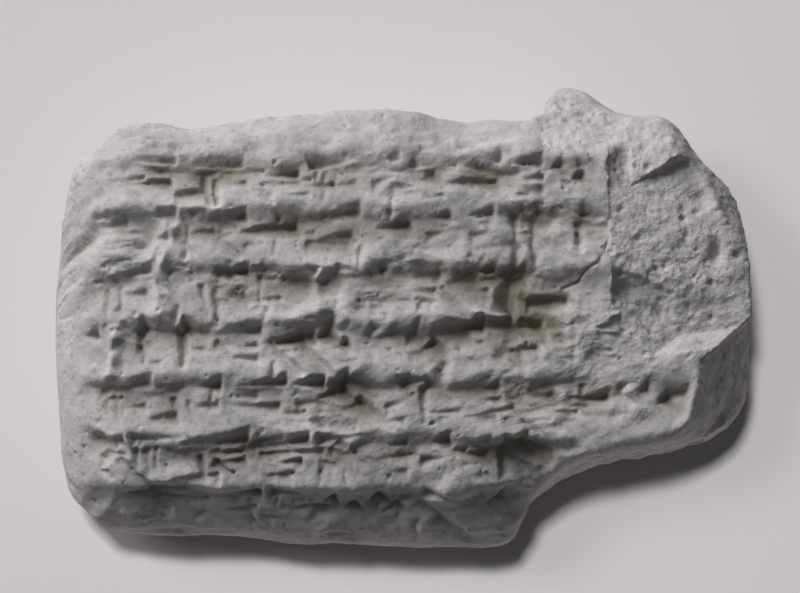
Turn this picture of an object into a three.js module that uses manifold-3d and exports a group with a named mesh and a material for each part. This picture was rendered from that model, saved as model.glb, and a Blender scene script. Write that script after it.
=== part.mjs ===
// A broken clay tablet with rows of wedge-shaped strokes, lying on its back.
//
// Units are millimetres. +X runs along the rows, +Y towards the top edge of the
// inscribed face, +Z up out of that face. The origin is under the middle of the
// tablet, on the surface that it lies on.
//
// The body is one solid. Its surface is where form(x, y, z) is zero: a pillow with
// the tablet's outline, less what has broken away. A box's grid is thrown onto that
// surface along rays, and the strokes are then cut out of it.

import * as THREE from "three";
import { mergeVertices } from "three/addons/utils/BufferGeometryUtils.js";
import Module from "manifold-3d";

// ---- Driving dimensions -------------------------------------------------------

const THICKNESS = 19; // at the middle, face to reverse
const HALF_LENGTH = 31.1;
const HALF_WIDTH = 20.8;
const FACE_CROWN = 1.4; // how far the face bulges above its edges
const REVERSE_CROWN = 3.0; // the same for the reverse, before its flat spot
const FLAT_SPOT_DEPTH = 0.5; // worn off the reverse's bulge, so that it lies still
const SIDE_CROWN = 0.9; // how far the edges bulge outwards at mid height
const FACE_RADIUS = 5; // roundness of the edges next to the face
const LOWER_EDGE_RADIUS = 7; // the same along the lower edge
const REVERSE_RADIUS = 6.5;
const BROKEN_RADIUS = 1.2; // roundness where the edge is a break

// The rows of writing. A row runs from the crest above it to the crest below.
const ROW_PITCH = 5.05;
const FIRST_CREST = 13.9;
const ROW_START = -27.4;
const ROW_ENDS = [17, 17.4, 16.2, 13.6, 25.6, 15, 9.4]; // the last row is on the lower edge
const EDGE_ROW_START = -22.5;
const VALLEY_DEPTH = 0.6; // of a row below the crests beside it
const VALLEY_PLACE = 0.28; // of a row's deepest line, as a share of the pitch
const EDGE_ROW_SHARE = 0.5; // the last row's valley is shallower
const ROW_WAVE = 0.35; // how far the rows wander up and down
const DEEP_STROKE = 0.7; // shallower strokes are left out of the solid
const SEED = 11;

// Made-up groups of strokes, which spell nothing. Each has the width that it takes up
// in its row and its strokes, as [x, up, angle, length, width, depth]. x and up place
// the stroke's head, from the start of the group and from the row's middle, up as a
// share of the pitch. An angle of 0 runs along the row, and -90 down it.
const GROUPS = [
  { width: 5.2, strokes: [[4.9, 0.36, 186, 4.9, 1.25, 0.9], [4.4, -0.04, 184, 3.6, 1.05, 0.75]] },
  {
    width: 4.9,
    strokes: [
      [0, 0.33, 4, 4.8, 1.25, 0.9],
      [0.7, 0.18, -90, 2.1, 0.7, 0.5],
      [1.6, 0.18, -92, 2.2, 0.7, 0.5],
      [2.5, 0.2, -88, 2.1, 0.7, 0.5],
      [3.4, 0.2, -90, 1.9, 0.6, 0.4],
    ],
  },
  { width: 2.2, strokes: [[0.9, 0.4, -92, 2.8, 1.5, 0.85]] },
  { width: 3.3, strokes: [[2.9, 0.3, 185, 2.8, 0.95, 0.7], [3, 0.04, 184, 2.7, 0.9, 0.6], [2.8, -0.22, 183, 2.6, 0.8, 0.5]] },
  { width: 3.6, strokes: [[0.2, 0.28, -45, 2.3, 1.7, 0.85], [1.9, 0.1, -42, 2.1, 1.5, 0.75]] },
  { width: 4.1, strokes: [[3.9, 0.14, 185, 3.9, 1.15, 0.8], [1.8, 0.38, -90, 2.7, 0.9, 0.6]] },
  {
    width: 5.7,
    strokes: [
      [5.4, 0.34, 187, 5.4, 1.35, 0.95],
      [1.2, 0.06, -80, 1.9, 0.8, 0.5],
      [2.4, 0.06, -86, 1.9, 0.7, 0.45],
      [5.2, -0.06, 184, 2.4, 0.95, 0.6],
    ],
  },
  { width: 3.7, strokes: [[0.2, 0.36, -15, 3.3, 1.4, 0.9], [0.4, 0.24, -88, 2.3, 0.9, 0.55]] },
  { width: 3.2, strokes: [[3, 0.34, 188, 3, 1.3, 0.85], [0.4, -0.06, 12, 2.3, 0.9, 0.5]] },
];
const GROUP_GAP = [0.1, 0.6]; // least and greatest gap between two groups
const HAND = { shift: 0.2, turn: 5, size: 0.15 }; // how unevenly the strokes were pressed

// Corners of the outline, anticlockwise from the middle of the left edge, seen from the face.
const OUTLINE = [
  [-31.0, 1.5],
  [-30.8, -7],
  [-30.3, -13.3],
  [-29.5, -16.2],
  [-27.7, -18.1],
  [-25.3, -19.4],
  [-16, -19.9],
  [-6, -20.6],
  [4, -20.8],
  [9.2, -20.4],
  [10.6, -18.7],
  [11.6, -16.8],
  [14.8, -14.2],
  [18, -13.2],
  [23, -12.3],
  [28.2, -10.7],
  [30.6, -8.2],
  [31.1, -4.5],
  [30.8, 3.5],
  [30.2, 9.1],
  [29.3, 11.6],
  [27.8, 12.5],
  [25.4, 16],
  [24.1, 17.4],
  [22.5, 17.9],
  [19.4, 18.6],
  [15.6, 20.8],
  [13.5, 20.4],
  [12.1, 17.8],
  [6, 17.4],
  [-0.5, 18.3],
  [-6.5, 18.5],
  [-13, 17.8],
  [-18.5, 17.0],
  [-23.4, 17.3],
  [-27.2, 15.3],
  [-29.9, 12.6],
];
const OUTLINE_STEPS = 272;

// Small helpers -----------------------------------------------------------------

const clamp01 = (t) => Math.min(1, Math.max(0, t));
const smoothstep = (from, to, t) => {
  const s = clamp01((t - from) / (to - from));
  return s * s * (3 - 2 * s);
};
const bell = (x, y, [cx, cy, rx, ry]) => Math.exp(-(((x - cx) / rx) ** 2) - ((y - cy) / ry) ** 2);
const { degToRad: radians, lerp } = THREE.MathUtils;

// ---- Outline ------------------------------------------------------------------

const outlineCurve = new THREE.CatmullRomCurve3(
  OUTLINE.map(([x, y]) => new THREE.Vector3(x, y, 0)),
  true,
  "catmullrom",
  0.5,
);
const outlinePoints = outlineCurve.getPoints(OUTLINE_STEPS).slice(0, -1);
const outlineBox = new THREE.Box3().setFromPoints(outlinePoints);
const outlineCentre = outlineBox.getCenter(new THREE.Vector3());
outlinePoints.forEach((p) => p.sub(outlineCentre));

// Distance to the outline, negative inside it.
function outlineDistance(x, y) {
  let nearest = Infinity;
  let inside = false;
  outlinePoints.forEach((a, i) => {
    const b = outlinePoints[(i + 1) % outlinePoints.length];
    const [ex, ey, px, py] = [b.x - a.x, b.y - a.y, x - a.x, y - a.y];
    const t = clamp01((px * ex + py * ey) / (ex * ex + ey * ey));
    nearest = Math.min(nearest, Math.hypot(px - t * ex, py - t * ey));
    if (a.y > y !== b.y > y && x < a.x + ((y - a.y) / ey) * ex) inside = !inside;
  });
  return inside ? -nearest : nearest;
}

// ---- What has broken away -----------------------------------------------------

// Where the surface of the face has crumbled: middle x, y, radii and depth.
const DENTS = [
  [0.8, 3.7, 2.8, 2.4, 0.7], // crumbled patch in the middle
  [17.2, -4, 4.2, 4.2, 0.6], // flaked patch beside the hollow
  [-7, 13.9, 6, 1.5, 0.5], // worn top edge
  [8.8, -17.8, 2.2, 1.2, 0.6], // chip at the lower edge
];
const HOLLOW_DENTS = [
  [19.8, 13.4, 0.9, 2.0, 0.8], // gap beside the block
  [23.8, -2, 5.5, 3, 1.1], // the floor is sunken here
  [28.9, 9.4, 1.6, 2.6, -0.8], // lump left on the rim
];

// The right end is a break: a hollow above, a steep facet below, and a block left standing.
const FACE_Z = THICKNESS - FACE_CROWN; // height of the face near its edges
const CRACK_X = 18.4; // the face ends here, at a crack
const CRACK_STEP = 0.1; // drop just past the crack
const HOLLOW_SLOPE = 0.1; // fall of the hollow's floor towards the end
const HOLLOW_TWIST = 0.022; // how much steeper that gets with each mm towards the top edge
const HOLLOW_Y = 6; // where it starts to get steeper
const WALL_SLOPE = 2.4; // the steepest sides of the hollow
const FLAKED_SIDE = { x: 16, y: 1.8, direction: radians(40), slope: 0.5 };
const RIDGE = { x: 21.4, y: -4.9, direction: radians(14), depth: 0.1, fall: 0.06, slope: 1 };
const BLOCK = { x: 21.4, y: 11.3, direction: radians(27), westX: 20.3, depth: 0.5 };
const BLOCK_DISH = [21.2, 14.6, 1.8, 1.8, 0.6];
const END_FACET = { x: 26.4, y: -7, z: 17.3, alongX: -1.3, alongY: 0.3 };
const END_FACET_TOP = { x: 26.8, y: -4.8, direction: radians(44) };
const CORNER_FACET = { x: 26.2, y: 14.2, z: 14.8, alongX: -1.3, alongY: -0.8 };
const BUMP_FACET = { startX: 12.5, y: 14.6, z: 17.2, slope: 0.9, sideSlope: 0.7 };
const LEDGE = { startX: 22.6, x: 24.1, y: -13.8, direction: radians(44), z: 13, lean: 0.35 };

function crown(x, y) {
  return Math.max(0, 1 - (x / HALF_LENGTH) ** 2) * Math.max(0, 1 - (y / HALF_WIDTH) ** 2);
}

function totalDepth(dents, x, y) {
  return dents.reduce((total, [cx, cy, rx, ry, depth]) => total + depth * bell(x, y, [cx, cy, rx, ry]), 0);
}

function faceTop(x, y) {
  return FACE_Z + FACE_CROWN * crown(x, y) - totalDepth(DENTS, x, y);
}

// Distances from a slanting line: to its right-hand side, and along it.
const rightOf = (line, x, y) =>
  (x - line.x) * Math.sin(line.direction) - (y - line.y) * Math.cos(line.direction);
const along = (line, x, y) => (x - line.x) * Math.cos(line.direction) + (y - line.y) * Math.sin(line.direction);

// How far below the face the hollow lies: as deep as its floor, sides and block allow.
function hollowDepth(x, y) {
  const slope = HOLLOW_SLOPE + HOLLOW_TWIST * Math.max(0, y - HOLLOW_Y);
  const floor = CRACK_STEP + slope * (x - CRACK_X) + totalDepth(HOLLOW_DENTS, x, y);
  const westSide = WALL_SLOPE * (x - CRACK_X);
  const flakedSide = FLAKED_SIDE.slope * along(FLAKED_SIDE, x, y);
  const southSide = RIDGE.depth + RIDGE.fall * along(RIDGE, x, y) - RIDGE.slope * rightOf(RIDGE, x, y);
  const intoBlock = Math.min(-rightOf(BLOCK, x, y), x - BLOCK.westX);
  const blockTop = BLOCK.depth + totalDepth([BLOCK_DISH], x, y);
  const block = Math.max(blockTop, floor - WALL_SLOPE * intoBlock);
  return Math.min(floor, westSide, flakedSide, southSide, block);
}

const aboveFacet = (facet, x, y, z) =>
  z - facet.z - facet.alongX * (x - facet.x) - facet.alongY * (y - facet.y);

// Positive in what has broken away, negative in what is left.
function broken(x, y, z) {
  const hollow = z - FACE_Z - FACE_CROWN * crown(x, y) + hollowDepth(x, y);
  const besideBump = Math.max(0, BUMP_FACET.startX - x);
  const bumpFacet = z - BUMP_FACET.z + BUMP_FACET.slope * (y - BUMP_FACET.y) - BUMP_FACET.sideSlope * besideBump;
  const beyondLedge = rightOf(LEDGE, x, y) + LEDGE.lean * (z - LEDGE.z);
  return Math.max(
    0.75 * hollow,
    Math.min(0.6 * aboveFacet(END_FACET, x, y, z), rightOf(END_FACET_TOP, x, y)),
    0.6 * aboveFacet(CORNER_FACET, x, y, z),
    0.7 * bumpFacet,
    Math.min(beyondLedge, z - LEDGE.z, x - LEDGE.startX),
  );
}

// ---- Body ---------------------------------------------------------------------

// Depth of a row's valley, 0 on a crest and 1 at its deepest: falling ever more steeply
// from the upper crest, then rising slowly to the lower one.
function valley(phase) {
  return phase < VALLEY_PLACE ? (phase / VALLEY_PLACE) ** 2 : (1 - phase) / (1 - VALLEY_PLACE);
}

// How far down the rows a place is: 0 at the first crest, 1 at the next.
function rowsDown(x, y) {
  const wave = Math.sin(0.42 * x + 0.5 * y) + 0.6 * Math.sin(0.93 * x - 0.8 * y);
  return (FIRST_CREST + ROW_WAVE * wave - y) / ROW_PITCH;
}

function rowRelief(x, y) {
  const down = rowsDown(x, y);
  if (down < 0) return 0;
  const row = Math.min(Math.floor(down), ROW_ENDS.length - 1);
  const end = ROW_ENDS[row];
  const margin = smoothstep(ROW_START - 1.2, ROW_START + 0.6, x) * (1 - smoothstep(end, end + 1.5, x));
  const share = row === ROW_ENDS.length - 1 ? EDGE_ROW_SHARE : 1;
  const wear = 0.8 + 0.2 * Math.sin(0.31 * x + 2.3 * row);
  return VALLEY_DEPTH * share * wear * margin * valley(down - row);
}

// Negative inside the clay, about the distance to its surface.
function form(x, y, z) {
  const top = faceTop(x, y) - rowRelief(x, y);
  const bottom = Math.max(0, REVERSE_CROWN * (1 - crown(x, y)) - FLAT_SPOT_DEPTH);
  const middle = (top + bottom) / 2;
  const half = (top - bottom) / 2;
  const brokenShare = smoothstep(9, 16, x) * (1 - smoothstep(14, 17, y));
  const faceRadius = lerp(LOWER_EDGE_RADIUS, FACE_RADIUS, smoothstep(-14, -8, y));
  const radius = z > middle ? lerp(faceRadius, BROKEN_RADIUS, brokenShare) : REVERSE_RADIUS;
  const bulge = SIDE_CROWN * (1 - brokenShare) * ((z - middle) / half) ** 2;
  const sideways = outlineDistance(x, y) + bulge + radius;
  const upwards = Math.abs(z - middle) - half + radius;
  const pillow =
    Math.hypot(Math.max(sideways, 0), Math.max(upwards, 0)) + Math.min(Math.max(sideways, upwards), 0) - radius;
  return Math.max(pillow, broken(x, y, z));
}

// The first place along a ray, from inside the clay, where the surface is.
function surfaceAlong(start, direction) {
  const at = (t) => form(start.x + direction.x * t, start.y + direction.y * t, start.z + direction.z * t);
  const stride = 0.5;
  let [inner, outer] = [0, stride];
  while (at(outer) < 0) {
    inner = outer;
    outer += stride;
  }
  for (let i = 0; i < 24; i++) {
    const half = (inner + outer) / 2;
    if (at(half) < 0) inner = half;
    else outer = half;
  }
  return start.clone().addScaledVector(direction, (inner + outer) / 2);
}

// The core is the part of the plan where rays go straight up and down. Around it
// they fan out, away from a spine along the middle of the tablet.
const CORE = { left: -26.6, top: 13.6, bottom: -15.6, right: 27, foot: 7.6, shoulder: 22, z: 8.5 };
const SPINE = { from: -16, to: 17, y: -1 };

// The right side of the core steps in where the tablet has lost its lower corner.
function coreRight(y) {
  const foot = (CORE.right - CORE.foot) * (1 - smoothstep(CORE.bottom, -3, y));
  const shoulder = (CORE.right - CORE.shoulder) * smoothstep(6, CORE.top, y);
  return CORE.right - foot - shoulder;
}

// The place in the core for a and b from -1 to 1, across and up it.
function corePoint(a, b) {
  const y = lerp(CORE.bottom, CORE.top, (b + 1) / 2);
  const cornerCut = 2.2 * smoothstep(0.75, 1, Math.abs(b));
  const x = lerp(CORE.left + cornerCut, coreRight(y), (a + 1) / 2);
  return new THREE.Vector3(x, y, CORE.z);
}

function outward({ x, y }) {
  return new THREE.Vector3(x - THREE.MathUtils.clamp(x, SPINE.from, SPINE.to), y - SPINE.y, 0).normalize();
}

const GRID = { x: 30, y: 34, around: 8 };

function bodyGeometry() {
  const box = new THREE.BoxGeometry(2, 2, 2, GRID.x, GRID.y, GRID.around);
  box.deleteAttribute("normal");
  box.deleteAttribute("uv");
  const geometry = mergeVertices(box, 1e-4);
  const position = geometry.attributes.position;
  const corner = new THREE.Vector3();
  for (let i = 0; i < position.count; i++) {
    corner.fromBufferAttribute(position, i);
    const start = corePoint(corner.x, corner.y);
    const steepness = (corner.z * Math.PI) / 2;
    const direction = outward(start).multiplyScalar(Math.cos(steepness)).setZ(Math.sin(steepness));
    if (Math.abs(corner.z) > 0.999) direction.set(0, 0, corner.z);
    const p = surfaceAlong(start, direction);
    position.setXYZ(i, p.x, p.y, Math.abs(p.z) < 1e-3 ? 0 : p.z);
  }
  return geometry;
}

// ---- Strokes ------------------------------------------------------------------

// A repeatable run of numbers from 0 to 1.
function makeRandom(seed) {
  let state = seed;
  return () => {
    state = (Math.imul(state, 1664525) + 1013904223) >>> 0;
    return state / 2 ** 32;
  };
}

// Strokes of one row, in groups from left to right, each pressed a little unevenly.
// A stroke's s is measured down the face and on around the lower edge.
function rowStrokes(end, row, random) {
  const around = (middle, spread) => middle + spread * (2 * random() - 1);
  const middle = FIRST_CREST - (row + 0.5) * ROW_PITCH;
  const strokes = [];
  let x = row === ROW_ENDS.length - 1 ? EDGE_ROW_START : ROW_START;
  while (x < end - 1.5) {
    const group = GROUPS[Math.floor(random() * GROUPS.length)];
    for (const [along, up, angle, length, width, depth] of group.strokes) {
      strokes.push({
        x: around(x + along, HAND.shift),
        s: around(middle + up * ROW_PITCH, HAND.shift),
        angle: around(angle, HAND.turn),
        length: length * around(1, HAND.size),
        width: width * around(1, HAND.size),
        depth: depth * around(1, HAND.size),
      });
    }
    x += group.width + lerp(...GROUP_GAP, random());
  }
  return strokes.filter((stroke) => stroke.x < end);
}

// The place on the face or the lower edge that is s down it at x, with its normal.
function placeOnFace(x, s) {
  const edgeY = CORE.bottom;
  const onFace = s > edgeY;
  const start = new THREE.Vector3(x, Math.max(s, edgeY), CORE.z);
  const reach = THICKNESS - CORE.z;
  const turn = onFace ? 0 : (edgeY - s) / reach;
  const direction = new THREE.Vector3(0, -Math.sin(turn), Math.cos(turn));
  const point = surfaceAlong(start, direction);
  const step = 0.8;
  const slope = (dx, dy, dz) =>
    form(point.x + dx, point.y + dy, point.z + dz) - form(point.x - dx, point.y - dy, point.z - dz);
  const normal = new THREE.Vector3(slope(step, 0, 0), slope(0, step, 0), slope(0, 0, step)).normalize();
  return { point, normal: onFace ? new THREE.Vector3(0, 0, 1) : normal };
}

const STROKE_LIFT = 1.1; // how far a cutter stands out of the surface

// A wedge: a three-sided point pressed in at its head, which tapers out to its tail.
function strokeGeometry({ length, width, depth }) {
  const grow = (depth + STROKE_LIFT) / depth;
  const deepest = new THREE.Vector3(0.3 * width, 0, -depth);
  const rim = [
    [0, width / 2],
    [0, -width / 2],
    [length, 0],
  ].map(([u, v]) => new THREE.Vector3(u, v, 0).sub(deepest).multiplyScalar(grow).add(deepest));
  const geometry = new THREE.BufferGeometry().setFromPoints([...rim, deepest]);
  geometry.setIndex([0, 1, 2, 1, 0, 3, 2, 1, 3, 0, 2, 3]);
  return geometry;
}

function strokeCutter(stroke) {
  const { point, normal } = placeOnFace(stroke.x, stroke.s);
  const across = new THREE.Vector3().crossVectors(normal, new THREE.Vector3(1, 0, 0)).normalize();
  const along = new THREE.Vector3().crossVectors(across, normal);
  const geometry = strokeGeometry(stroke);
  geometry.rotateZ(radians(stroke.angle));
  geometry.applyMatrix4(new THREE.Matrix4().makeBasis(along, across, normal).setPosition(point));
  return geometry;
}

// ---- Cutting ------------------------------------------------------------------

const wasm = await Module();
wasm.setup();

function solidOf(geometry) {
  const vertProperties = new Float32Array(geometry.attributes.position.array);
  const triVerts = new Uint32Array(geometry.index.array);
  return new wasm.Manifold(new wasm.Mesh({ numProp: 3, vertProperties, triVerts }));
}

function geometryOf(solid) {
  const mesh = solid.getMesh();
  const geometry = new THREE.BufferGeometry();
  geometry.setAttribute("position", new THREE.BufferAttribute(mesh.vertProperties, 3));
  geometry.setIndex(new THREE.BufferAttribute(mesh.triVerts, 1));
  geometry.computeVertexNormals();
  return geometry;
}

function carvedTablet() {
  const random = makeRandom(SEED);
  const strokes = ROW_ENDS.flatMap((end, row) => rowStrokes(end, row, random));
  const cutters = strokes.filter(({ depth }) => depth >= DEEP_STROKE).map((stroke) => solidOf(strokeCutter(stroke)));
  const carving = cutters.reduce((all, cutter) => all.add(cutter));
  return geometryOf(solidOf(bodyGeometry()).subtract(carving));
}

// ---- The part -----------------------------------------------------------------

const clay = new THREE.MeshStandardMaterial({ color: 0x9a9892, roughness: 0.95, metalness: 0 });

const tablet = new THREE.Mesh(carvedTablet(), clay);
tablet.name = "tablet";

const part = new THREE.Group();
part.add(tablet);

export default part;
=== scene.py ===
# The broken clay tablet, lying face up on a pale floor.
#
# The CAD solid gives the size and the place. One finer mesh stands for it: the same
# form, worked out from the same named sizes, then pressed with its rows of strokes and
# worn. Lengths are in millimetres until the mesh is made, and +X, +Y and +Z are the
# solid's: along the rows, towards the top edge, and out of the inscribed face.

import math

import bpy
import numpy as np
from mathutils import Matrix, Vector


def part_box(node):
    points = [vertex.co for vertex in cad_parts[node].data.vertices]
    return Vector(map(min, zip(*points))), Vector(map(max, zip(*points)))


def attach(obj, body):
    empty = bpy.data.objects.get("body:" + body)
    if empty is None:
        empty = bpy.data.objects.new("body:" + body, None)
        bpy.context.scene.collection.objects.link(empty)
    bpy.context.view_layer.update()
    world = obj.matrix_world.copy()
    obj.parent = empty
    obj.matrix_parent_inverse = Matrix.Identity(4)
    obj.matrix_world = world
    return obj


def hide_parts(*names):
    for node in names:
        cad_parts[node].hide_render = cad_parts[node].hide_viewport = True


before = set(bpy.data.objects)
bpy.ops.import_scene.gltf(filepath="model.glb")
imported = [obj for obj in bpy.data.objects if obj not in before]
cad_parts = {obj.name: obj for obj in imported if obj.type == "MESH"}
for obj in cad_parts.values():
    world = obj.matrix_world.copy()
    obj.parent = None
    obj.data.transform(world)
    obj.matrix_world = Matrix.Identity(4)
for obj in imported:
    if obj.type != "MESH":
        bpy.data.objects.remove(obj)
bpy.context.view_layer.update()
MM = 0.001

# ---- The solid's own sizes ------------------------------------------------------

THICKNESS = 19
HALF_LENGTH = 31.1
HALF_WIDTH = 20.8
FACE_CROWN = 1.4
REVERSE_CROWN = 3.0
FLAT_SPOT_DEPTH = 0.5
SIDE_CROWN = 0.9
FACE_RADIUS = 5
LOWER_EDGE_RADIUS = 7
REVERSE_RADIUS = 6.5
BROKEN_RADIUS = 1.2

ROW_PITCH = 5.05
FIRST_CREST = 13.9
ROW_START = -27.4
ROW_ENDS = [17, 17.4, 16.2, 13.6, 25.6, 15, 9.4]  # the last row is on the lower edge
EDGE_ROW_START = -22.5
VALLEY_DEPTH = 0.6
VALLEY_PLACE = 0.28
EDGE_ROW_SHARE = 0.5
ROW_WAVE = 0.35
SEED = 11

OUTLINE = [
    (-31.0, 1.5), (-30.8, -7), (-30.3, -13.3), (-29.5, -16.2), (-27.7, -18.1), (-25.3, -19.4),
    (-16, -19.9), (-6, -20.6), (4, -20.8), (9.2, -20.4), (10.6, -18.7), (11.6, -16.8),
    (14.8, -14.2), (18, -13.2), (23, -12.3), (28.2, -10.7), (30.6, -8.2), (31.1, -4.5),
    (30.8, 3.5), (30.2, 9.1), (29.3, 11.6), (27.8, 12.5), (25.4, 16), (24.1, 17.4), (22.5, 17.9),
    (19.4, 18.6), (15.6, 20.8), (13.5, 20.4), (12.1, 17.8), (6, 17.4), (-0.5, 18.3), (-6.5, 18.5),
    (-13, 17.8), (-18.5, 17.0), (-23.4, 17.3), (-27.2, 15.3), (-29.9, 12.6),
]  # fmt: skip
POINTS_PER_CORNER = 8

DENTS = [
    (0.8, 3.7, 2.8, 2.4, 0.7),
    (17.2, -4, 4.2, 4.2, 0.6),
    (-7, 13.9, 6, 1.5, 0.5),
    (8.8, -17.8, 2.2, 1.2, 0.6),
]
HOLLOW_DENTS = [
    (19.8, 13.4, 0.9, 2.0, 0.8),
    (23.8, -2, 5.5, 3, 1.1),
    (28.9, 9.4, 1.6, 2.6, -0.8),
]

FACE_Z = THICKNESS - FACE_CROWN
CRACK_X, CRACK_STEP = 18.4, 0.1
# The hollow's floor falls towards the end, and more steeply above HOLLOW_Y.
HOLLOW_SLOPE, HOLLOW_TWIST, HOLLOW_Y = 0.1, 0.022, 6
WALL_SLOPE = 2.4
FLAKED_SIDE = dict(x=16, y=1.8, direction=math.radians(40), slope=0.5)
RIDGE = dict(x=21.4, y=-4.9, direction=math.radians(14), depth=0.1, fall=0.06, slope=1)
BLOCK = dict(x=21.4, y=11.3, direction=math.radians(27), west_x=20.3, depth=0.5)
BLOCK_DISH = (21.2, 14.6, 1.8, 1.8, 0.6)
END_FACET = dict(x=26.4, y=-7, z=17.3, along_x=-1.3, along_y=0.3)
END_FACET_TOP = dict(x=26.8, y=-4.8, direction=math.radians(44))
CORNER_FACET = dict(x=26.2, y=14.2, z=14.8, along_x=-1.3, along_y=-0.8)
BUMP_FACET = dict(start_x=12.5, y=14.6, z=17.2, slope=0.9, side_slope=0.7)
LEDGE = dict(start_x=22.6, x=24.1, y=-13.8, direction=math.radians(44), z=13, lean=0.35)

# Finer than the solid: small dents, a step and a groove in the hollow, and how softly
# the bump's facet starts.
SMALL_DENTS = [
    (28.0, 4.9, 0.6, 0.9, 1.0),
    (26.8, 9.8, 0.8, 0.8, 0.5),
    (25.2, 6.2, 0.3, 0.4, 0.4),
    (24.9, 7.8, 0.35, 0.3, 0.35),
    (19.4, 1.2, 1.3, 0.8, 0.7),
    (21.3, -0.4, 1.6, 0.5, 0.3),
    (22.0, 15.0, 0.4, 0.8, 0.5),
    (23.3, 13.6, 0.6, 0.35, 0.4),
]
# A low step down to its right-hand side, and a groove beside the block.
STEP = dict(x=19.2, y=3.4, direction=math.radians(-22), drop=0.3, width=0.7, length=5.5)
BLOCK_GROOVE = dict(depth=0.15, width=0.5, length=4.2)
BUMP_BLEND = 0.4

CORE_LEFT, CORE_RIGHT, CORE_TOP, CORE_BOTTOM, CORE_Z = -26.6, 27, 13.6, -15.6, 8.5
CORE_FOOT, CORE_SHOULDER = 7.6, 22
SPINE_FROM, SPINE_TO, SPINE_Y = -16, 17, -1

# Groups of strokes: the width taken up, then [x, up, angle, length, width, depth].
GROUPS = [
    (5.2, [(4.9, 0.36, 186, 4.9, 1.25, 0.9), (4.4, -0.04, 184, 3.6, 1.05, 0.75)]),
    (4.9, [(0, 0.33, 4, 4.8, 1.25, 0.9), (0.7, 0.18, -90, 2.1, 0.7, 0.5), (1.6, 0.18, -92, 2.2, 0.7, 0.5),
           (2.5, 0.2, -88, 2.1, 0.7, 0.5), (3.4, 0.2, -90, 1.9, 0.6, 0.4)]),
    (2.2, [(0.9, 0.4, -92, 2.8, 1.5, 0.85)]),
    (3.3, [(2.9, 0.3, 185, 2.8, 0.95, 0.7), (3, 0.04, 184, 2.7, 0.9, 0.6), (2.8, -0.22, 183, 2.6, 0.8, 0.5)]),
    (3.6, [(0.2, 0.28, -45, 2.3, 1.7, 0.85), (1.9, 0.1, -42, 2.1, 1.5, 0.75)]),
    (4.1, [(3.9, 0.14, 185, 3.9, 1.15, 0.8), (1.8, 0.38, -90, 2.7, 0.9, 0.6)]),
    (5.7, [(5.4, 0.34, 187, 5.4, 1.35, 0.95), (1.2, 0.06, -80, 1.9, 0.8, 0.5),
           (2.4, 0.06, -86, 1.9, 0.7, 0.45), (5.2, -0.06, 184, 2.4, 0.95, 0.6)]),
    (3.7, [(0.2, 0.36, -15, 3.3, 1.4, 0.9), (0.4, 0.24, -88, 2.3, 0.9, 0.55)]),
    (3.2, [(3, 0.34, 188, 3, 1.3, 0.85), (0.4, -0.06, 12, 2.3, 0.9, 0.5)]),
]  # fmt: skip
GROUP_GAP = (0.1, 0.6)
HAND_SHIFT, HAND_TURN, HAND_SIZE = 0.2, 5, 0.15

# ---- Small helpers --------------------------------------------------------------


def smoothstep(low, high, t):
    s = np.clip((t - low) / (high - low), 0, 1)
    return s * s * (3 - 2 * s)


def mix(a, b, share):
    return a + (b - a) * share


def bell(x, y, middle_x, middle_y, radius_x, radius_y):
    return np.exp(-(((x - middle_x) / radius_x) ** 2) - ((y - middle_y) / radius_y) ** 2)


class Map:
    """A field of values on a regular grid in the plane."""

    def __init__(self, low, high, step):
        self.low, self.step = low, step
        columns = [np.arange(a, b + step, step, dtype=np.float32) for a, b in zip(low, high)]
        self.x, self.y = np.meshgrid(*columns, indexing="ij")
        self.values = np.zeros_like(self.x)

    def at(self, x, y):
        u = np.clip((x - self.low[0]) / self.step, 0, self.x.shape[0] - 1.01)
        v = np.clip((y - self.low[1]) / self.step, 0, self.x.shape[1] - 1.01)
        i, j = u.astype(int), v.astype(int)
        s, t = u - i, v - j
        f = self.values
        near = mix(f[i, j], f[i + 1, j], s)
        far = mix(f[i, j + 1], f[i + 1, j + 1], s)
        return mix(near, far, t)


class Noise:
    """Smooth noise from about -1 to 1, on a random lattice that repeats far off."""

    SIDE = 64

    def __init__(self, seed):
        draws = np.random.default_rng(seed).uniform(-1, 1, (self.SIDE,) * 3)
        self.lattice = draws.astype(np.float32)

    def layer(self, x, y, z, size):
        cells, shares = [], []
        for c in (x, y, z):
            c = np.asarray(c, dtype=np.float32) / size + self.SIDE * 8
            low = np.floor(c)
            t = c - low
            cells.append(low.astype(int) % self.SIDE)
            shares.append(t * t * t * (t * (6 * t - 15) + 10))
        nexts = [(c + 1) % self.SIDE for c in cells]
        (i, j, k), (a, b, c), (u, v, w) = cells, nexts, shares
        f = self.lattice
        low = mix(mix(f[i, j, k], f[a, j, k], u), mix(f[i, b, k], f[a, b, k], u), v)
        high = mix(mix(f[i, j, c], f[a, j, c], u), mix(f[i, b, c], f[a, b, c], u), v)
        return mix(low, high, w)

    def __call__(self, x, y, z, size, layers=1, fade=0.5):
        total, weight = 0, 1
        for n in range(layers):
            offset = 7.31 * n
            total = total + weight * self.layer(x + offset, y - offset, z + offset, size * 0.5**n)
            weight *= fade
        return total


def blurred(values, sigma):
    """A Gaussian blur of a grid, sigma in cells."""
    reach = int(math.ceil(2.5 * sigma))
    weights = np.exp(-0.5 * (np.arange(-reach, reach + 1) / sigma) ** 2)
    weights = (weights / weights.sum()).astype(np.float32)
    for axis in (0, 1):
        pad = [(reach, reach) if a == axis else (0, 0) for a in (0, 1)]
        padded = np.pad(values, pad, mode="edge")
        size = values.shape[axis]
        values = sum(w * np.take(padded, range(n, n + size), axis=axis) for n, w in enumerate(weights))
    return values


# ---- The tablet's form ----------------------------------------------------------


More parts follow.
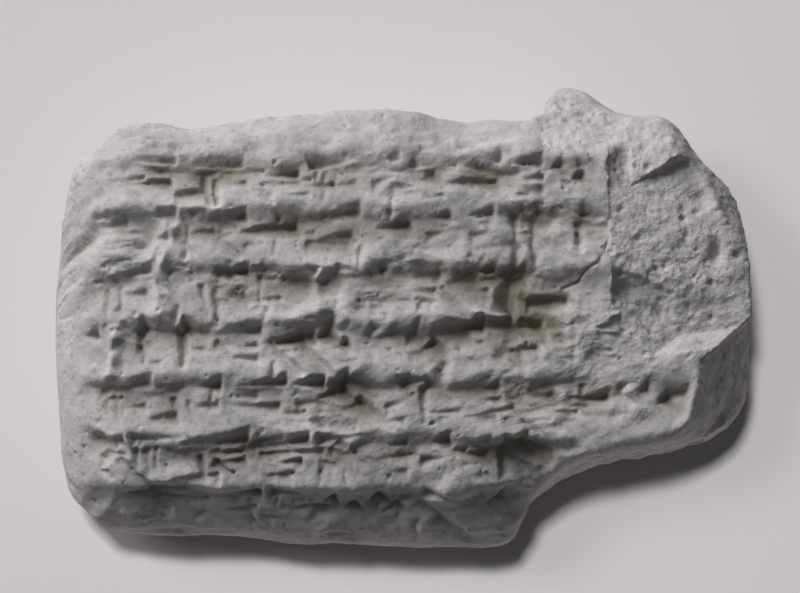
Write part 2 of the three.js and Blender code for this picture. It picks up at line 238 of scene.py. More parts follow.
def closed_curve(corners, points_per_corner):
    """A Catmull-Rom curve round the corners."""
    p1 = np.array(corners, dtype=float)
    p0, p2, p3 = np.roll(p1, 1, 0), np.roll(p1, -1, 0), np.roll(p1, -2, 0)
    t = (np.arange(points_per_corner) / points_per_corner)[None, :, None]
    p0, p1, p2, p3 = (p[:, None, :] for p in (p0, p1, p2, p3))
    start, end = (p2 - p0) / 2, (p3 - p1) / 2
    cubic = 2 * p1 - 2 * p2 + start + end
    square = -3 * p1 + 3 * p2 - 2 * start - end
    return (((cubic * t + square) * t + start) * t + p1).reshape(-1, 2)


def outline_map():
    """Distance to the outline, negative inside it."""
    outline = closed_curve(OUTLINE, POINTS_PER_CORNER)
    outline -= (outline.min(0) + outline.max(0)) / 2
    field = Map((-35, -25), (35, 25), 0.2)
    nearest = np.full_like(field.x, np.inf)
    inside = np.zeros(field.x.shape, dtype=bool)
    for (ax, ay), (bx, by) in zip(outline, np.roll(outline, -1, 0)):
        ex, ey = bx - ax, by - ay
        px, py = field.x - ax, field.y - ay
        t = np.clip((px * ex + py * ey) / (ex * ex + ey * ey), 0, 1)
        nearest = np.minimum(nearest, (px - t * ex) ** 2 + (py - t * ey) ** 2)
        if ey:
            inside ^= ((ay > field.y) != (by > field.y)) & (field.x < ax + (field.y - ay) / ey * ex)
    field.values = np.where(inside, -1, 1) * np.sqrt(nearest)
    return field


outline_distance = outline_map()


def crown(x, y):
    return np.maximum(0, 1 - (x / HALF_LENGTH) ** 2) * np.maximum(0, 1 - (y / HALF_WIDTH) ** 2)


def total_depth(dents, x, y):
    return sum(depth * bell(x, y, *place) for *place, depth in dents)


def face_top(x, y):
    return FACE_Z + FACE_CROWN * crown(x, y) - total_depth(DENTS, x, y)


def right_of(line, x, y):
    """Distance to the right-hand side of a slanting line."""
    return (x - line["x"]) * math.sin(line["direction"]) - (y - line["y"]) * math.cos(line["direction"])


def along(line, x, y):
    return (x - line["x"]) * math.cos(line["direction"]) + (y - line["y"]) * math.sin(line["direction"])


def between_ends(distance, length):
    """1 along a line's length, falling to 0 at its ends."""
    return smoothstep(-0.3, 0.3, distance) * (1 - smoothstep(length - 1, length + 1, distance))


def hollow_depth(x, y):
    slope = HOLLOW_SLOPE + HOLLOW_TWIST * np.maximum(0, y - HOLLOW_Y)
    floor = CRACK_STEP + slope * (x - CRACK_X) + total_depth(HOLLOW_DENTS + SMALL_DENTS, x, y)
    below_step = smoothstep(0, STEP["width"], right_of(STEP, x, y))
    floor = floor + STEP["drop"] * below_step * between_ends(along(STEP, x, y), STEP["length"])
    from_block = right_of(BLOCK, x, y)
    groove = np.exp(-((from_block / BLOCK_GROOVE["width"] - 1) ** 2))
    floor = floor + BLOCK_GROOVE["depth"] * groove * between_ends(along(BLOCK, x, y), BLOCK_GROOVE["length"])

    west_side = WALL_SLOPE * (x - CRACK_X)
    flaked_side = FLAKED_SIDE["slope"] * along(FLAKED_SIDE, x, y)
    south_side = RIDGE["depth"] + RIDGE["fall"] * along(RIDGE, x, y) - RIDGE["slope"] * right_of(RIDGE, x, y)
    into_block = np.minimum(-from_block, x - BLOCK["west_x"])
    block_top = BLOCK["depth"] + total_depth([BLOCK_DISH], x, y)
    block = np.maximum(block_top, floor - WALL_SLOPE * into_block)
    return np.minimum.reduce([floor, west_side, flaked_side, south_side, block])


def above_facet(x, y, z, facet):
    return z - facet["z"] - facet["along_x"] * (x - facet["x"]) - facet["along_y"] * (y - facet["y"])


def broken(x, y, z):
    """Positive in what has broken away, negative in what is left; without the bump's facet."""
    hollow = z - FACE_Z - FACE_CROWN * crown(x, y) + hollow_depth(x, y)
    beyond = LEDGE["lean"] * (z - LEDGE["z"]) + right_of(LEDGE, x, y)
    ledge = np.minimum(np.minimum(beyond, z - LEDGE["z"]), x - LEDGE["start_x"])
    return np.maximum.reduce([
        0.75 * hollow,
        np.minimum(0.6 * above_facet(x, y, z, END_FACET), right_of(END_FACET_TOP, x, y)),
        0.6 * above_facet(x, y, z, CORNER_FACET),
        ledge,
    ])  # fmt: skip


def above_bump(x, y, z):
    """The same for the facet that slopes up to the bump on the top edge."""
    beside = BUMP_FACET["side_slope"] * np.maximum(0, BUMP_FACET["start_x"] - x)
    return 0.7 * (z - BUMP_FACET["z"] + BUMP_FACET["slope"] * (y - BUMP_FACET["y"]) - beside)


def broken_share(x, y):
    """1 where the tablet's side is a break, 0 where it is its own rounded edge."""
    return smoothstep(9, 16, x) * (1 - smoothstep(14, 17, y))


def pillow(x, y, z):
    """Negative inside the whole tablet, before its breaks."""
    top = face_top(x, y)
    bottom = np.maximum(0, REVERSE_CROWN * (1 - crown(x, y)) - FLAT_SPOT_DEPTH)
    middle, half = (top + bottom) / 2, (top - bottom) / 2
    face_radius = mix(LOWER_EDGE_RADIUS, FACE_RADIUS, smoothstep(-14, -8, y))
    face_radius = mix(face_radius, BROKEN_RADIUS, broken_share(x, y))
    radius = np.where(z > middle, face_radius, REVERSE_RADIUS)
    bulge = SIDE_CROWN * (1 - broken_share(x, y)) * ((z - middle) / half) ** 2
    sideways = outline_distance.at(x, y) + bulge + radius
    upwards = np.abs(z - middle) - half + radius
    corner = np.hypot(np.maximum(sideways, 0), np.maximum(upwards, 0))
    return corner + np.minimum(np.maximum(sideways, upwards), 0) - radius


def form(x, y, z):
    whole, cut = np.maximum(pillow(x, y, z), broken(x, y, z)), above_bump(x, y, z)
    return (whole + cut + np.hypot(whole - cut, BUMP_BLEND)) / 2


def surface_along(start, direction):
    """Where rays from inside the clay meet its surface."""
    stride, longest = 0.5, 17
    x0, y0, z0 = start.T
    dx, dy, dz = direction.T

    def inside(t):
        return form(x0 + dx * t, y0 + dy * t, z0 + dz * t) < 0

    inner = np.zeros(len(start))
    going = np.ones(len(start), dtype=bool)
    for _ in range(int(longest / stride)):
        going &= inside(inner + stride)
        inner[going] += stride
    outer = inner + stride
    for _ in range(16):
        half = (inner + outer) / 2
        still = inside(half)
        inner, outer = np.where(still, half, inner), np.where(still, outer, half)
    return start + direction * ((inner + outer) / 2)[:, None]


def normals_at(points, step=0.7):
    """The form's outward direction, taken over a small distance."""
    x, y, z = points.T
    slope = np.stack([
        form(x + step, y, z) - form(x - step, y, z),
        form(x, y + step, z) - form(x, y - step, z),
        form(x, y, z + step) - form(x, y, z - step),
    ], axis=1)  # fmt: skip
    return slope / np.linalg.norm(slope, axis=1, keepdims=True)


# ---- The grid thrown onto it ----------------------------------------------------


def core_right(y):
    foot = (CORE_RIGHT - CORE_FOOT) * (1 - smoothstep(CORE_BOTTOM, -3, y))
    shoulder = (CORE_RIGHT - CORE_SHOULDER) * smoothstep(6, CORE_TOP, y)
    return CORE_RIGHT - foot - shoulder


def core_points(a, b):
    y = mix(CORE_BOTTOM, CORE_TOP, (b + 1) / 2)
    corner_cut = 2.2 * smoothstep(0.75, 1, np.abs(b))
    x = mix(CORE_LEFT + corner_cut, core_right(y), (a + 1) / 2)
    return np.stack([x, y, np.full_like(x, CORE_Z)], axis=-1)


def outward(points):
    away = points.copy()
    away[..., 0] -= np.clip(points[..., 0], SPINE_FROM, SPINE_TO)
    away[..., 1] -= SPINE_Y
    away[..., 2] = 0
    return away / np.linalg.norm(away, axis=-1, keepdims=True)


COLUMNS, ROWS, AROUND = 500, 280, 120
MOST_TRIANGLES = 195000


def body_grid():
    """Rays for the face, the reverse and the side between them, and the quads that join them."""
    a, b = np.meshgrid(np.linspace(-1, 1, COLUMNS + 1), np.linspace(-1, 1, ROWS + 1), indexing="ij")
    core = core_points(a, b)
    sheet = np.arange(a.size).reshape(a.shape)
    up, down = np.zeros_like(core), np.zeros_like(core)
    up[..., 2], down[..., 2] = 1, -1

    border = np.concatenate([sheet[:-1, 0], sheet[-1, :-1], sheet[:0:-1, -1], sheet[0, :0:-1]])
    rim = core.reshape(-1, 3)[border]
    steepness = np.linspace(math.pi / 2, -math.pi / 2, AROUND + 1)[1:-1]
    fan = outward(rim)[None] * np.cos(steepness)[:, None, None]
    fan[..., 2] = np.sin(steepness)[:, None]

    starts = np.concatenate([core.reshape(-1, 3), np.tile(rim, (len(steepness), 1)), core.reshape(-1, 3)])
    directions = np.concatenate([up.reshape(-1, 3), fan.reshape(-1, 3), down.reshape(-1, 3)])

    def quads(rows):
        return np.stack([rows[:-1, :-1], rows[1:, :-1], rows[1:, 1:], rows[:-1, 1:]], axis=-1).reshape(-1, 4)

    reverse = sheet + a.size + fan.shape[0] * len(border)
    rings = a.size + np.arange(fan.shape[0] * len(border)).reshape(fan.shape[0], len(border))
    rings = np.concatenate([border[None], rings, reverse.reshape(-1)[border][None]])
    rings = np.concatenate([rings, rings[:, :1]], axis=1)
    faces = np.concatenate([quads(sheet), quads(rings), quads(reverse)[:, ::-1]])
    return starts, directions, faces


# ---- Rows and strokes -----------------------------------------------------------


class Draws:
    """A repeatable run of numbers from 0 to 1, the same as the solid's."""

    def __init__(self, seed):
        self.state = seed

    def __call__(self):
        self.state = (self.state * 1664525 + 1013904223) & 0xFFFFFFFF
        return self.state / 2**32

    def around(self, middle, spread):
        return middle + spread * (2 * self() - 1)


def row_strokes(end, row, draws):
    """The strokes of one row: x and s of the head, angle, length, width and depth."""
    middle = FIRST_CREST - (row + 0.5) * ROW_PITCH
    strokes = []
    x = EDGE_ROW_START if row == len(ROW_ENDS) - 1 else ROW_START
    while x < end - 1.5:
        group_width, group = GROUPS[int(draws() * len(GROUPS))]
        for along, up, angle, length, width, depth in group:
            strokes.append((
                draws.around(x + along, HAND_SHIFT),
                draws.around(middle + up * ROW_PITCH, HAND_SHIFT),
                draws.around(angle, HAND_TURN),
                length * draws.around(1, HAND_SIZE),
                width * draws.around(1, HAND_SIZE),
                depth * draws.around(1, HAND_SIZE),
            ))  # fmt: skip
        x += group_width + mix(*GROUP_GAP, draws())
    return [stroke for stroke in strokes if stroke[0] < end]


def valley(phase):
    """Depth of a row below its crests: falling ever more steeply, then rising slowly."""
    return np.where(phase < VALLEY_PLACE, (phase / VALLEY_PLACE) ** 2, (1 - phase) / (1 - VALLEY_PLACE))


def row_relief(x, s):
    wave = np.sin(0.42 * x + 0.5 * s) + 0.6 * np.sin(0.93 * x - 0.8 * s)
    down = (FIRST_CREST + ROW_WAVE * wave - s) / ROW_PITCH
    row = np.clip(np.floor(down), 0, len(ROW_ENDS) - 1)
    end = np.array(ROW_ENDS)[row.astype(int)]
    margin = margin_share(x) * (1 - smoothstep(end, end + 1.5, x))
    wear = (0.8 + 0.2 * np.sin(0.31 * x + 2.3 * row)) * np.where(row == len(ROW_ENDS) - 1, EDGE_ROW_SHARE, 1)
    return np.where(down < 0, 0, VALLEY_DEPTH * wear * margin * valley(down - row))


UPPER_SIDE, LOWER_SIDE = 0.55, 0.95  # how far a stroke's sides reach, as shares of its width
UPPER_SIDE_CURVE = 1.6  # the upper side falls ever more steeply


def press(field, stroke):
    """Press one wedge into a map of heights."""
    x, s, angle, length, width, depth = stroke
    reach = length + width
    i0, j0 = (int((c - low - reach) / field.step) for c, low in zip((x, s), field.low))
    span = int(2 * reach / field.step)
    window = (slice(max(i0, 0), i0 + span), slice(max(j0, 0), j0 + span))
    turn = math.radians(angle)
    px, py = field.x[window] - x, field.y[window] - s
    u = px * math.cos(turn) + py * math.sin(turn)
    v = py * math.cos(turn) - px * math.sin(turn)
    deepest = 0.3 * width
    head = u / deepest
    # The sides of an upright stroke are alike; a level one has a steep upper side.
    upper = v * math.cos(turn) > 0
    level = abs(math.cos(turn))
    half_width = width * np.where(upper, mix(0.5, UPPER_SIDE, level), mix(0.5, LOWER_SIDE, level))
    sides = (1 - u / length - np.abs(v) / half_width) / (1 - deepest / length)
    sides = np.where(upper & (sides > 0), np.maximum(sides, 0) ** UPPER_SIDE_CURVE, sides)
    height_at_head = float(field.at(np.array(x), np.array(s)))
    pressed = height_at_head - depth * np.minimum(head, sides)
    field.values[window] = np.minimum(field.values[window], pressed)


# Fine strokes, too shallow for the solid: angles, and ranges of length, width and depth.
FINE_STROKES_A_ROW = 24
FINE_ANGLES = (3, 184, 187, 5, -90, 186, -45)
FINE_LENGTH, FINE_WIDTH, FINE_DEPTH = (1.4, 3.6), (0.45, 0.9), (0.3, 0.6)
PRESSED_DEEPER = 1.2  # than in the solid

# Clay pushed up between strokes into smooth ribs: x, y of both ends, width, height.
RIBS = [
    (-20.3, 7.8, -21.4, 4.0, 0.7, 0.8),
    (-21.2, 2.6, -21.4, -0.8, 0.7, 0.7),
    (-25.2, -3.0, -25.7, -7.0, 0.5, 0.7),
    (-24.2, -12.2, -24.8, -15.0, 0.5, 0.6),
    (-7.6, 3.0, -7.2, -1.0, 0.5, 0.6),
    (2.8, -2.0, 6.4, -5.0, 0.4, 0.5),
]
# Places where the face is sunken or crumbled: middle, radii, depth.
SUNKEN = [
    (-17.0, 7.0, 2.6, 1.0, 0.6),
    (-9.4, 7.2, 2.0, 1.0, 0.6),
    (1.2, 3.0, 2.8, 0.9, 0.6),
    (9.4, 3.4, 2.4, 1.0, 0.55),
    (12.4, 8.2, 2.4, 1.1, 0.5),
    (-21.4, 12.4, 2.2, 0.9, 0.6),
    (-13.0, 14.4, 0.9, 1.8, 0.5),
]
CRUMBLED = [
    (0.8, 3.7, 3.2, 2.4),
    (17.2, -4, 4.6, 4.6),
    (13.4, 7.6, 4.5, 3),
    (15.5, -10.5, 6, 2.6),
    (3, 13.6, 9, 2.4),
]
# Each crack is a line through its points: the one where the hollow starts, and a short
# one that joins it near its upper end.
CRACKS = [
    [(18.9, 15.4), (18.8, 12.6), (18.35, 10.5), (18.5, 7.0), (18.4, 5.8), (17.85, 4.6),
     (17.3, 3.6), (16.1, 2.9), (15.6, 1.9), (14.2, 1.3)],
    [(16.4, 14.2), (16.8, 13.2), (17.9, 11.9), (18.5, 11.3)],
]  # fmt: skip
CRACK_WIDTH, CRACK_DEPTH = 0.12, 0.24

RELIEF_STEP = 0.08  # of the map of heights
GRAIN_STRETCH = 2.6  # crumbs and flakes are this much longer along the rows
noise = Noise(7)


def segment_distance(x, y, x0, y0, x1, y1):
    ex, ey = x1 - x0, y1 - y0
    t = np.clip(((x - x0) * ex + (y - y0) * ey) / (ex * ex + ey * ey), 0, 1)
    return np.hypot(x - x0 - t * ex, y - y0 - t * ey)


def fine_strokes(row, end, draws):
    start = EDGE_ROW_START if row == len(ROW_ENDS) - 1 else ROW_START
    middle = FIRST_CREST - (row + 0.5) * ROW_PITCH
    for _ in range(FINE_STROKES_A_ROW):
        angle = FINE_ANGLES[int(draws() * len(FINE_ANGLES))]
        yield (
            mix(start, end - 1, draws()),
            draws.around(middle, 0.36 * ROW_PITCH),
            draws.around(angle, HAND_TURN),
            mix(*FINE_LENGTH, draws()),
            mix(*FINE_WIDTH, draws()),
            mix(*FINE_DEPTH, draws()),
        )


# Swellings of the clay along the crests.
SWELL_HEIGHT, SWELL_LENGTH, SWELL_WIDTH = 0.55, 4.5, 1.1


def margin_share(x):
    """0 on the blank edge to the left of the rows, 1 beyond it."""
    return smoothstep(ROW_START - 1.2, ROW_START + 0.6, x)


def swellings(x, s):
    """Rounded, uneven ridges along the crests between the rows."""
    down = (FIRST_CREST - s) / ROW_PITCH
    from_crest = np.abs(down - np.round(down)) * ROW_PITCH
    uneven = smoothstep(-0.6, 0.8, noise(x, 0.5 * s, 66, SWELL_LENGTH, 2))
    return SWELL_HEIGHT * uneven * margin_share(x) * np.exp(-((from_crest / SWELL_WIDTH) ** 2))


def crumbled_share(x, s):
    share = smoothstep(0.35, 0.75, noise(x, s, 77, 5.0, 2))
    for place in CRUMBLED:
        share = np.maximum(share, 1.2 * bell(x, s, *place))
    return np.minimum(share, 1)


def relief_map():
    """Heights of the inscribed face over x and s, pressed and then worn."""
    field = Map((-33, -36), (33, 24), RELIEF_STEP)
    x, s = field.x, field.y
    warp_x = 0.6 * noise(x, s, 3, 3.2, 2)
    warp_s = 0.45 * noise(x, s, 9, 2.6, 2)
    uneven = 1.3 + 0.9 * noise(x, s, 20, 4.2, 2)
    field.values = -row_relief(x + warp_x, s + warp_s) * np.maximum(uneven, 0.3)
    field.values += swellings(x + warp_x, s + 1.6 * warp_s)
    for x0, y0, x1, y1, width, height in RIBS:
        field.values += height * np.exp(-((segment_distance(x, s, x0, y0, x1, y1) / width) ** 2))
    for *place, depth in SUNKEN:
        field.values -= depth * bell(x + warp_x, s + warp_s, *place)

    draws, fine_draws = Draws(SEED), Draws(SEED + 1)
    for row, end in enumerate(ROW_ENDS):
        for *stroke, depth in row_strokes(end, row, draws):
            press(field, (*stroke, PRESSED_DEEPER * depth))
        for stroke in fine_strokes(row, end, fine_draws):
            press(field, stroke)

    # Edges of the strokes wander, because clay has crumbled from them.
    flat_x = x / GRAIN_STRETCH
    field.values = field.at(x + 0.14 * noise(flat_x, s, 31, 0.7, 2), s + 0.10 * noise(flat_x, s, 43, 0.7, 2))

    crumbled = crumbled_share(x, s)
    crisp = blurred(field.values, 0.1 / RELIEF_STEP)
    worn = blurred(field.values, 0.3 / RELIEF_STEP)
    worn_share = smoothstep(0, 0.9, noise(x, s, 57, 6.5, 2))
    field.values = mix(crisp, worn, np.maximum(0.5 * worn_share, 0.5 * crumbled))

    # Small steps where thin flakes have come away.
    flakes = 0.5 * noise(flat_x, s, 88, 1.6, 3)
    steps = 5 * flakes
    terraces = (np.floor(steps) + smoothstep(0.35, 0.65, steps - np.floor(steps))) / 5
    written = margin_share(x)
    field.values += 0.6 * crumbled * terraces
    field.values += mix(0.04, 0.12, written) * noise(flat_x, s, 14, 1.6, 2)
    field.values += mix(0.03, 0.06, written) * noise(x, s, 25, 0.8, 3, 0.6)
    field.values -= 0.16 * crumbled * np.abs(noise(flat_x, s, 61, 0.7, 2))

    for crack in CRACKS:
        lines = [segment_distance(x + 0.2 * warp_x, s, *a, *b) for a, b in zip(crack, crack[1:])]
        field.values -= CRACK_DEPTH * np.exp(-((np.min(lines, axis=0) / CRACK_WIDTH) ** 2))
    return field


def down_the_face(points):
    """s, measured down the face and on around its rounded edges."""
    x, y, z = points.T
    drop = np.maximum(0, FACE_Z - z)
    around = 0.6 * np.minimum(drop, FACE_RADIUS) + np.maximum(0, drop - FACE_RADIUS)
    return np.where(y < SPINE_Y, y - around, y + around)


# ---- The mesh -------------------------------------------------------------------


def make_mesh(name, points, faces):
    mesh = bpy.data.meshes.new(name)
    mesh.vertices.add(len(points))
    mesh.vertices.foreach_set("co", np.ascontiguousarray(points * MM, dtype=np.float32).ravel())
    mesh.loops.add(faces.size)
    mesh.loops.foreach_set("vertex_index", faces.ravel().astype(np.int32))
    mesh.polygons.add(len(faces))
    mesh.polygons.foreach_set("loop_start", np.arange(0, faces.size, 4, dtype=np.int32))
    mesh.update(calc_edges=True)
    return mesh


def add_attribute(mesh, name, values):
    layer = mesh.attributes.new(name, "FLOAT", "POINT")
    layer.data.foreach_set("value", np.ascontiguousarray(values, dtype=np.float32))


def decimated(mesh, most_triangles):
    """The same surface with fewer triangles where it is plain."""
    work = bpy.data.objects.new("work", mesh)
    bpy.context.scene.collection.objects.link(work)
    modifier = work.modifiers.new("fewer", "DECIMATE")
    modifier.ratio = most_triangles / (2 * len(mesh.polygons))
    modifier.use_collapse_triangulate = True
    graph = bpy.context.evaluated_depsgraph_get()
    fewer = bpy.data.meshes.new_from_object(work.evaluated_get(graph))
    bpy.data.objects.remove(work)
    return fewer


# Pits: how many, and the ranges of their radius and of their depth as a share of it.
FACE_PITS = (260, (0.10, 0.24), (0.5, 1.0))
EDGE_PITS = (200, (0.10, 0.26), (0.4, 0.8))
BREAK_PITS = (120, (0.15, 0.36), (0.4, 0.8))
BUMP_PITS = (30, (0.14, 0.28), (0.6, 1.0))


def sink_pits(points, height, where, pits, draws):
    """Round pits in the height of the surface, at random places in a mask."""
    count, radii, depths = pits
    candidates = np.flatnonzero(where)
    order = np.argsort(points[:, 0])
    sorted_x = points[order, 0]
    for _ in range(count):
        centre = points[candidates[int(draws() * len(candidates))]]
        radius = mix(*radii, draws())
        depth = radius * mix(*depths, draws())
        first, last = np.searchsorted(sorted_x, (centre[0] - 2 * radius, centre[0] + 2 * radius))
        near = order[first:last]
        distance = np.linalg.norm(points[near] - centre, axis=1)
        height[near] -= depth * np.exp(-((distance / radius) ** 4))


def inside_the_solid(points):
    """The points, drawn in where they pass the ends of the solid's box."""
    lower, upper = (np.array(corner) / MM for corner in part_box("tablet"))
    centre = (lower + upper) / 2
    lowest, highest = points.min(0), points.max(0)
    scale_up = (upper - centre) / (highest - centre)
    scale_down = (lower - centre) / (lowest - centre)
    scale = np.where(points > centre, scale_up, scale_down)
    points = centre + (points - centre) * np.minimum(scale, 1)
    points[:, 2] = np.maximum(points[:, 2], lower[2])
    return points


def clay_tablet():
    starts, directions, faces = body_grid()
    points = surface_along(starts, directions)
    normals = normals_at(points)
    x, y, z = points.T

    # How much of each place is a break, and not the tablet's own surface.
    ragged = 0.35 * noise(x, y, z, 2.0, 2)
    fractured = smoothstep(-0.5, 0.15, broken(x, y, z) - pillow(x, y, z) + ragged)
    fractured = np.maximum(fractured, smoothstep(-0.6, 1.0, above_bump(x, y, z) - pillow(x, y, z) + ragged))
    side_break = broken_share(x, y) * (1 - smoothstep(0.55, 0.9, np.abs(normals[:, 2]) + ragged))
    fractured = np.maximum(fractured, side_break)

    relief = relief_map()
    on_face = smoothstep(-0.2, 0.3, normals[:, 2])
    height = relief.at(x, down_the_face(points)) * on_face * (1 - fractured)

    own_surface = 0.10 * noise(x, y, z, 5.0, 2) + 0.025 * noise(x, y, z, 1.0, 2, 0.6)
    lumps = 0.26 * noise(x, y, z, 3.6, 2)
    grains = 0.10 * noise(x, y, z + 50, 0.9, 3, 0.7)
    strata = 0.16 * noise(0.3 * x, 0.3 * y, z, 0.8, 2) * (1 - np.abs(normals[:, 2]))
    height += mix(own_surface, lumps + grains + strata, fractured)

    draws = Draws(SEED + 2)
    left_edge = (x < ROW_START + 0.6) & (z > CORE_Z / 2)
    bump = (y > BUMP_FACET["y"] + 1) & (x > BUMP_FACET["start_x"] - 3) & (x < CRACK_X + 2)
    sink_pits(points, height, on_face > 0.9, FACE_PITS, draws)
    sink_pits(points, height, left_edge, EDGE_PITS, draws)
    sink_pits(points, height, fractured > 0.7, BREAK_PITS, draws)
    sink_pits(points, height, bump, BUMP_PITS, draws)

    points = inside_the_solid(points + normals * height[:, None])

    mesh = make_mesh("clay_tablet", points, faces)
    add_attribute(mesh, "fractured", fractured)
    add_attribute(mesh, "height", height)
    mesh = decimated(mesh, MOST_TRIANGLES)
    mesh.name = "clay_tablet"
    mesh.shade_smooth()
    piece = bpy.data.objects.new("clay_tablet", mesh)
    bpy.context.scene.collection.objects.link(piece)
    return piece


# ---- Camera ---------------------------------------------------------------------

VIEW_ELEVATION = math.radians(81)
LENS = 150
SENSOR = 36
FRAME_WIDTH = 0.072  # of what the camera sees at the tablet
FRAME_SHIFT = Vector((0.0002, -0.0018))  # of the tablet from the middle of the frame


def add_camera():
    camera = bpy.data.objects.new("camera", bpy.data.cameras.new("camera"))
    camera.data.lens = LENS
    camera.data.sensor_width = SENSOR
    camera.data.clip_start = 0.01
    camera.rotation_euler = (math.pi / 2 - VIEW_ELEVATION, 0, 0)
    backwards = Vector((0, -math.cos(VIEW_ELEVATION), math.sin(VIEW_ELEVATION)))
    up = Vector((0, math.sin(VIEW_ELEVATION), math.cos(VIEW_ELEVATION)))
    right = Vector((1, 0, 0))

    corners = [v.co for v in bpy.data.objects["tablet"].data.vertices]
    heights = [up.dot(c) for c in corners]
    widths = [c.x for c in corners]
    depths = [backwards.dot(c) for c in corners]
    middle = right * (min(widths) + max(widths)) / 2 + up * (min(heights) + max(heights)) / 2
    middle += backwards * (min(depths) + max(depths)) / 2
    target = middle - right * FRAME_SHIFT.x - up * FRAME_SHIFT.y
    camera.location = target + backwards * FRAME_WIDTH * LENS / SENSOR
    bpy.context.scene.collection.objects.link(camera)
    bpy.context.scene.camera = camera


# ---- Materials ------------------------------------------------------------------


class Nodes:
    """Short ways to add and join shader nodes."""

    def __init__(self, material):
        material.use_nodes = True
        self.tree = material.node_tree
        self.shader = self.tree.nodes["Principled BSDF"]

    def add(self, kind, settings=None, **inputs):
        node = self.tree.nodes.new(kind)
        for name, value in (settings or {}).items():
            setattr(node, name, value)
        for name, value in inputs.items():
            self.feed(node.inputs[name.replace("_", " ")], value)
        return node

    def feed(self, socket, value):
        if isinstance(value, bpy.types.NodeSocket):
            self.tree.links.new(value, socket)
        else:
            socket.default_value = value

    def math(self, operation, a, b=0.0):
        node = self.add("ShaderNodeMath", {"operation": operation})
        self.feed(node.inputs[0], a)
        self.feed(node.inputs[1], b)
        return node.outputs[0]

    def remap(self, value, low, high, to_low, to_high):
        node = self.add("ShaderNodeMapRange", {"interpolation_type": "SMOOTHSTEP"}, Value=value)
        limits = {"From Min": low, "From Max": high, "To Min": to_low, "To Max": to_high}
        for name, number in limits.items():
            node.inputs[name].default_value = number
        return node.outputs["Result"]

    def noise(self, place, size, detail=3.0, roughness=0.55):
        """Noise from 0 to 1 whose largest features are about size metres."""
        look = {"Scale": 1 / size, "Detail": detail, "Roughness": roughness}
        return self.add("ShaderNodeTexNoise", Vector=place, **look).outputs["Fac"]


CLAY = (0.475, 0.452, 0.453, 1)
# The warm dark colour of the painted shade in the strokes and hollows.
PAINTED_SHADE_COLOUR = (0.31, 0.28, 0.21, 1)


def clay_material():
    material = bpy.data.materials.new("clay")
    make = Nodes(material)
    place = make.add("ShaderNodeTexCoord").outputs["Object"]
    height = make.add("ShaderNodeAttribute", {"attribute_name": "height"}).outputs["Fac"]
    fractured = make.add("ShaderNodeAttribute", {"attribute_name": "fractured"}).outputs["Fac"]

    # Shade, as a share of the clay's own colour: mottled, grainy, lighter in breaks, and painted shade low
    # down.
    mottling = make.remap(make.noise(place, 0.006), 0.3, 0.7, 0.88, 1.08)
    grains = make.remap(make.noise(place, 0.0006, 2), 0.30, 0.42, 0.76, 1.0)
    dust = make.remap(make.noise(place, 0.0014, 4, 0.75), 0.35, 0.68, 0.92, 1.08)
    # Painted shade: the clay is darker where the surface lies low, in the strokes and hollows.
    painted_recess_shade = make.remap(height, -1.3, 0.2, 0.66, 1.05)
    fresh = make.remap(fractured, 0, 1, 1.0, 1.12)
    tone_and_painted_shade = mottling
    for share in (grains, dust, painted_recess_shade, fresh):
        tone_and_painted_shade = make.math("MULTIPLY", tone_and_painted_shade, share)
    # Painted shade: the clay is mixed towards a warm dark colour where the surface lies low.
    painted_shade_share = make.remap(make.math("ADD", height, make.math("MULTIPLY", dust, 0.5)), -0.9, 0.3, 0.8, 0)
    clay = make.add("ShaderNodeMixRGB", Fac=painted_shade_share, Color1=CLAY, Color2=PAINTED_SHADE_COLOUR).outputs["Color"]
    colour = make.add("ShaderNodeMixRGB", {"blend_type": "MULTIPLY"}, Fac=1.0, Color1=clay, Color2=tone_and_painted_shade)
    make.feed(make.shader.inputs["Base Color"], colour.outputs["Color"])

    make.shader.inputs["Roughness"].default_value = 0.95
    make.shader.inputs["Specular IOR Level"].default_value = 0.15

    fine = make.noise(place, 0.0004, 3, 0.6)
    coarse = make.noise(place, 0.0011, 3, 0.6)
    amount = make.remap(fractured, 0, 1, 0.5, 1.0)
    relief = make.math("MULTIPLY", make.math("ADD", fine, coarse), amount)
    bump = make.add("ShaderNodeBump", Height=relief, Strength=0.9, Distance=0.00014)
    make.feed(make.shader.inputs["Normal"], bump.outputs["Normal"])
    return material


def floor_material():
    material = bpy.data.materials.new("floor")
    shader = Nodes(material).shader
    shader.inputs["Base Color"].default_value = (0.72, 0.69, 0.70, 1)
    shader.inputs["Roughness"].default_value = 0.9
    return material


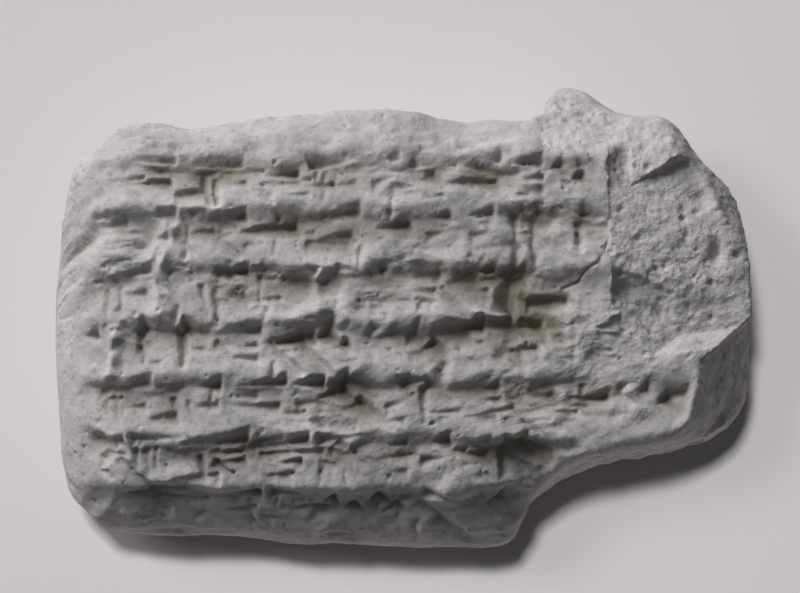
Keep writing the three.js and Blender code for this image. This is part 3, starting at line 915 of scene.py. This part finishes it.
# ---- Floor and light ------------------------------------------------------------


def add_floor():
    half = 1.5
    mesh = bpy.data.meshes.new("floor")
    corners = [(-half, -half, 0), (half, -half, 0), (half, half, 0), (-half, half, 0)]
    mesh.from_pydata(corners, [], [(0, 1, 2, 3)])
    floor = bpy.data.objects.new("floor", mesh)
    bpy.context.scene.collection.objects.link(floor)
    floor.data.materials.append(floor_material())
    return floor


def add_lamp(name, lit, azimuth, elevation, distance, size, power):
    """A soft lamp aimed at the tablet, lighting one thing; azimuth 0 is over its top edge."""
    lamp = bpy.data.objects.new(name, bpy.data.lights.new(name, "AREA"))
    lamp.data.size = size
    lamp.data.energy = power
    a, e = math.radians(azimuth), math.radians(elevation)
    away = Vector((math.sin(a) * math.cos(e), math.cos(a) * math.cos(e), math.sin(e)))
    lamp.location = away * distance
    lamp.rotation_euler = away.to_track_quat("Z", "Y").to_euler()
    bpy.context.scene.collection.objects.link(lamp)
    receivers = bpy.data.collections.new(name + "_lights")
    receivers.objects.link(lit)
    lamp.light_linking.receiver_collection = receivers


def add_lights(piece, floor):
    """The tablet and the floor have lamps of their own: the tablet's key is low, the floor's are high."""
    add_lamp("key", piece, azimuth=-40, elevation=30, distance=0.7, size=0.42, power=5.8)
    add_lamp("fill", piece, azimuth=150, elevation=70, distance=0.6, size=0.8, power=0.3)
    add_lamp("overhead", floor, azimuth=-45, elevation=82, distance=0.8, size=0.08, power=3.9)
    add_lamp("side", floor, azimuth=-75, elevation=60, distance=0.8, size=0.25, power=1.1)
    world = bpy.data.worlds.new("world")
    world.use_nodes = True
    background = world.node_tree.nodes["Background"]
    background.inputs["Color"].default_value = (1, 1, 1, 1)
    background.inputs["Strength"].default_value = 0.03
    bpy.context.scene.world = world


# ---- Making it ------------------------------------------------------------------

bpy.context.scene.view_settings.view_transform = "Standard"
add_camera()
floor = add_floor()

piece = clay_tablet()
piece.data.materials.clear()
piece.data.materials.append(clay_material())
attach(piece, "root")
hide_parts("tablet")
add_lights(piece, floor)
